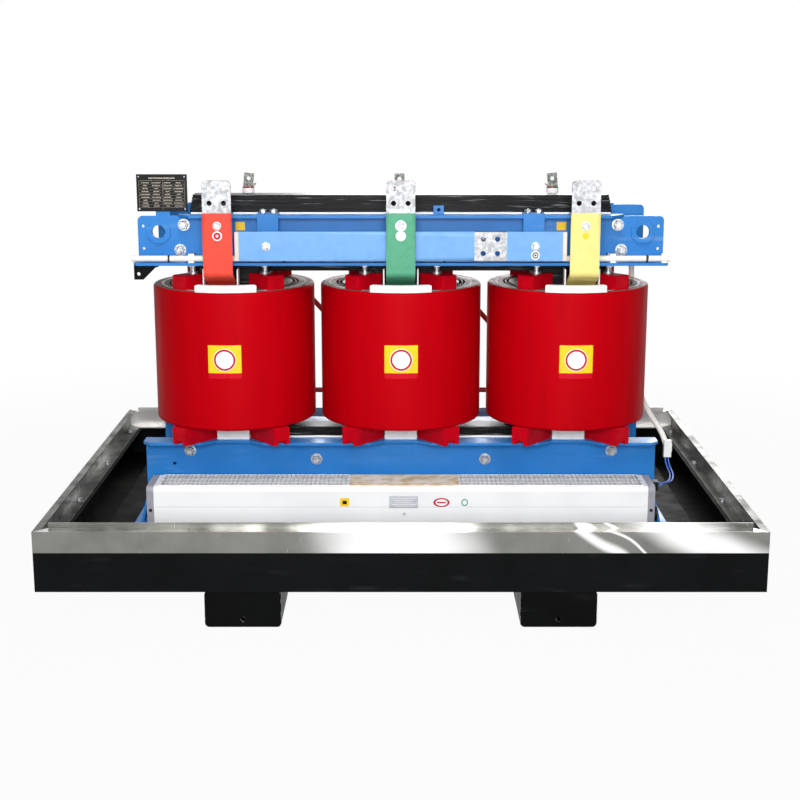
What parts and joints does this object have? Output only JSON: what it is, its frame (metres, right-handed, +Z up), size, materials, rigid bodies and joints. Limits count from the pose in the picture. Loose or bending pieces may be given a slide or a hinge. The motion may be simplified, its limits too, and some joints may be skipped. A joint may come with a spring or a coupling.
{
  "type": "dry type transformer",
  "caption": "Cast resin dry type transformer with red coils on a laminated core, blue clamps, coloured phase bars and a cross-flow fan, on a skid base.",
  "frame": {"origin": "centre of the footprint, on the floor under the two skids", "axes": "+X along the row of coils, +Y towards the high voltage side, +Z up; the low voltage bars and the fan face -Y"},
  "size_m": [1.9, 1.4, 1.134],
  "materials": {
    "black_paint": "satin",
    "stainless": "polished",
    "core_varnish": "gloss",
    "clamp_blue": "gloss",
    "coil_red": "gloss",
    "block_red": "satin",
    "lv_winding": "satin",
    "white_board": "matt",
    "barrier_board": "matt",
    "zinc": "satin",
    "sleeve_red": "satin",
    "sleeve_green": "satin",
    "sleeve_yellow": "satin",
    "sleeve_blue": "satin",
    "stand_off": "satin",
    "nameplate_black": "gloss",
    "post_red": "gloss",
    "tinned_copper": "satin",
    "rod_sleeve": "satin",
    "brass": "satin",
    "fan_white": "satin",
    "fan_cap_grey": "satin",
    "fan_gold": "satin",
    "fan_black": "satin",
    "fan_drum": "satin",
    "cable_cream": "satin",
    "nylon_white": "satin",
    "wire_sheath": "satin"
  },
  "bodies": {
    "transformer": {"skid_left": "black_paint", "skid_right": "black_paint", "channel_front": "black_paint", "channel_rear": "black_paint", "channel_left": "black_paint", "channel_right": "black_paint", "floor_plate": "black_paint", "support_beams": "black_paint", "rail_front": "stainless", "rail_rear": "stainless", "rail_left": "stainless", "rail_right": "stainless", "rail_bolts": "zinc", "core_leg_left": "core_varnish", "core_leg_middle": "core_varnish", "core_leg_right": "core_varnish", "core_yoke_upper": "core_varnish", "core_yoke_lower": "core_varnish", "clamp_upper_front": "clamp_blue", "clamp_upper_rear": "clamp_blue", "clamp_lower_front": "clamp_blue", "clamp_lower_rear": "clamp_blue", "feet": "clamp_blue", "clamp_bolts": "zinc", "insulation_boards": "white_board", "barrier_cylinders": "barrier_board", "hv_coil_left": "coil_red", "hv_coil_middle": "coil_red", "hv_coil_right": "coil_red", "lv_coil_left": "lv_winding", "lv_coil_middle": "lv_winding", "lv_coil_right": "lv_winding", "lower_support_blocks": "block_red", "upper_support_blocks": "block_red", "pressing_bolts": "zinc", "coil_wedges": "white_board", "edge_guards": "white_board", "phase_bar_red": "sleeve_red", "phase_bar_green": "sleeve_green", "phase_bar_yellow": "sleeve_yellow", "neutral_bar": "sleeve_blue", "bar_straps": "clamp_blue", "bar_insulators": "stand_off", "bar_bolts": "zinc", "nameplate": "nameplate_black", "hv_posts": "post_red", "hv_terminals": "tinned_copper", "delta_links": "rod_sleeve", "tap_links": "brass", "end_brackets": "black_paint", "fan_housing": "fan_white", "fan_end_caps": "fan_cap_grey", "fan_grilles": "fan_white", "fan_motor_cover": "fan_gold", "fan_motor": "fan_black", "fan_terminals": "fan_black", "cable_sleeves": "cable_cream", "cable_fittings": "nylon_white", "fan_wires": "wire_sheath"},
    "fan_rotor": {"fan_rotor": "fan_drum"}
  },
  "joints": [
    {"name": "fan_spin", "type": "hinge", "parent": "transformer", "child": "fan_rotor", "pos_m": [0, -0.222, 0.205], "axis": [1, 0, 0], "continuous": true}
  ]
}
